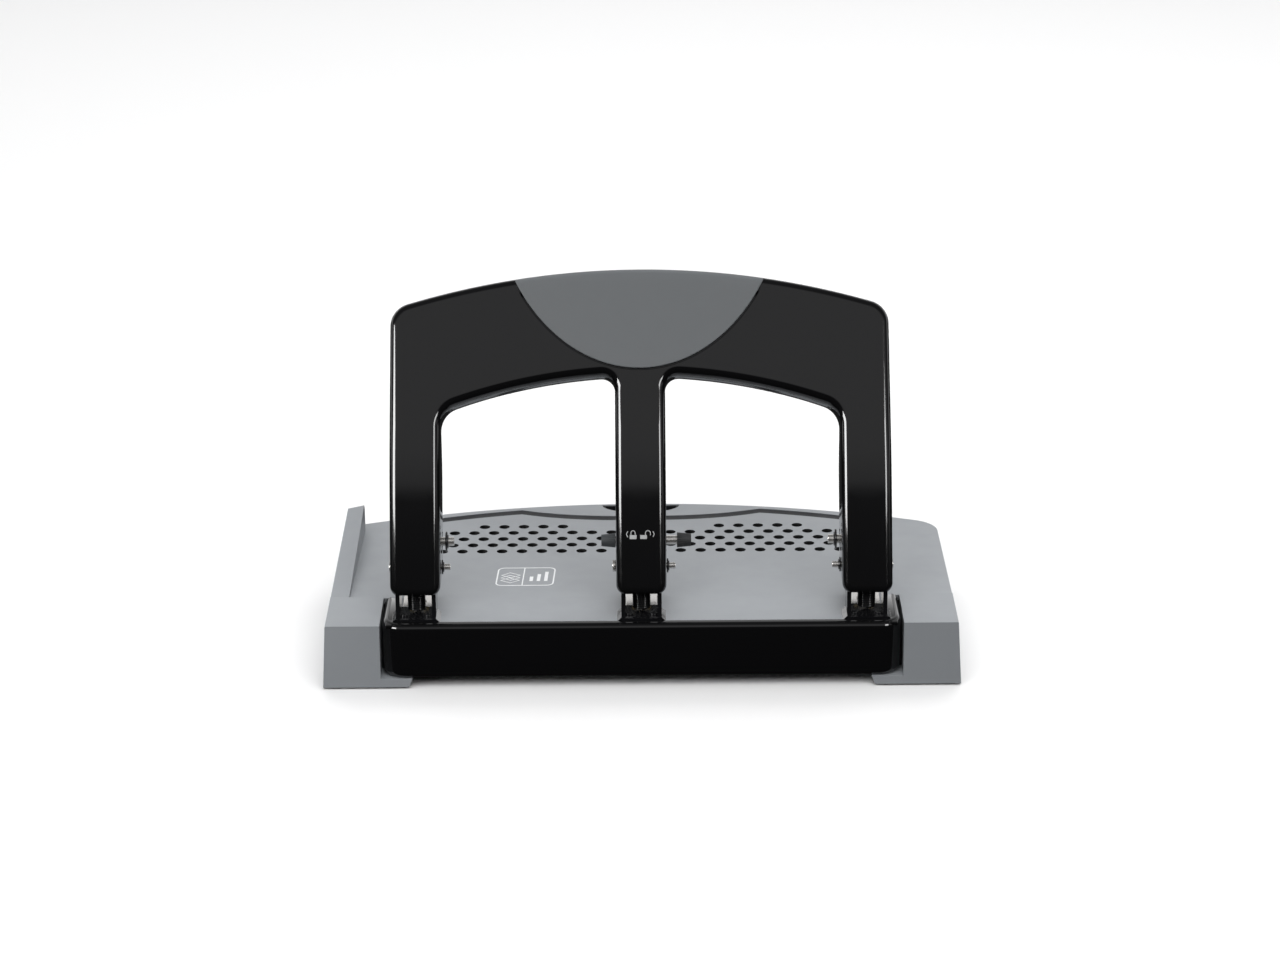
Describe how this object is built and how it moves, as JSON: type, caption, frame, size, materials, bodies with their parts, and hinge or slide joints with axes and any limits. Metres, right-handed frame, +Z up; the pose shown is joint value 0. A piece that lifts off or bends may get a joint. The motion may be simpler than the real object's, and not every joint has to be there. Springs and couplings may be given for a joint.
{
  "type": "hole punch",
  "caption": "Desktop lever paper punch for binder holes, with a tall bail handle hinged on punch heads, a paper platform, side guide, carry lock and pull-out chip tray.",
  "frame": {"origin": "middle of the base's footprint, on the surface that the punch stands on", "axes": "+X along the rail and its row of holes, +Y from the rail and handle hinge towards the chip tray's front, +Z up"},
  "size_m": [0.306, 0.17, 0.187],
  "materials": {
    "grey_plastic": "satin moulded",
    "dark_plastic": "satin moulded",
    "black_enamel": "glossy enamel",
    "soft_grip": "soft matte",
    "steel": "ground steel",
    "black_steel": "black oxide",
    "brass": "turned",
    "knob_rubber": "knurled",
    "foot_rubber": "matte"
  },
  "bodies": {
    "base": {"base_shell": "grey_plastic", "bottom_cover": "dark_plastic", "base_screws": "steel", "rubber_feet": "foot_rubber", "paper_guide": "grey_plastic", "punch_rail": "black_enamel", "die_plate_left": "steel", "die_plate_middle": "steel", "die_plate_right": "steel", "head_bracket_left": "black_steel", "head_bracket_middle": "black_steel", "head_bracket_right": "black_steel", "bracket_rivets": "black_steel", "guide_bush_left": "brass", "guide_bush_middle": "brass", "guide_bush_right": "brass", "pivot_pin_left": "steel", "pivot_pin_middle": "steel", "pivot_pin_right": "steel", "pivot_washers": "black_steel", "return_spring_left": "black_steel", "return_spring_middle": "black_steel", "return_spring_right": "black_steel"},
    "handle": {"handle_shell": "black_enamel", "grip_cap": "soft_grip"},
    "left_punch": {"punch_left": "steel", "drive_pin_left": "steel", "drive_washers_left": "black_steel"},
    "middle_punch": {"punch_middle": "steel"},
    "right_punch": {"punch_right": "steel", "drive_pin_right": "steel", "drive_washers_right": "black_steel"},
    "lock": {"lock_pin": "steel", "lock_knob_left": "knob_rubber", "lock_knob_right": "knob_rubber"},
    "tray": {"chip_tray": "dark_plastic", "tray_front": "grey_plastic"}
  },
  "joints": [
    {"name": "handle_hinge", "type": "hinge", "parent": "base", "child": "handle", "pos_m": [0, -0.065, 0.055], "axis": [-1, 0, 0], "range_deg": [0, 60], "stiffness_Nm_per_rad": 1.2, "springref_deg": -28.65, "deforming": ["return_spring_left", "return_spring_middle", "return_spring_right"]},
    {"name": "left_punch_slide", "type": "slide", "parent": "base", "child": "left_punch", "axis": [0, 0, -1], "range_m": [0, 0.01461]},
    {"name": "middle_punch_slide", "type": "slide", "parent": "base", "child": "middle_punch", "axis": [0, 0, -1], "range_m": [0, 0.01461]},
    {"name": "right_punch_slide", "type": "slide", "parent": "base", "child": "right_punch", "axis": [0, 0, -1], "range_m": [0, 0.01461]},
    {"name": "lock_slide", "type": "slide", "parent": "middle_punch", "child": "lock", "axis": [-1, 0, 0], "range_m": [0, 0.005]},
    {"name": "tray_slide", "type": "slide", "parent": "base", "child": "tray", "axis": [0, 1, 0], "range_m": [0, 0.08]}
  ],
  "couplings": [
    {"joint": "left_punch_slide", "follows": "handle_hinge", "m_per_rad": 0.013855},
    {"joint": "middle_punch_slide", "follows": "handle_hinge", "m_per_rad": 0.013855},
    {"joint": "right_punch_slide", "follows": "handle_hinge", "m_per_rad": 0.013855}
  ]
}
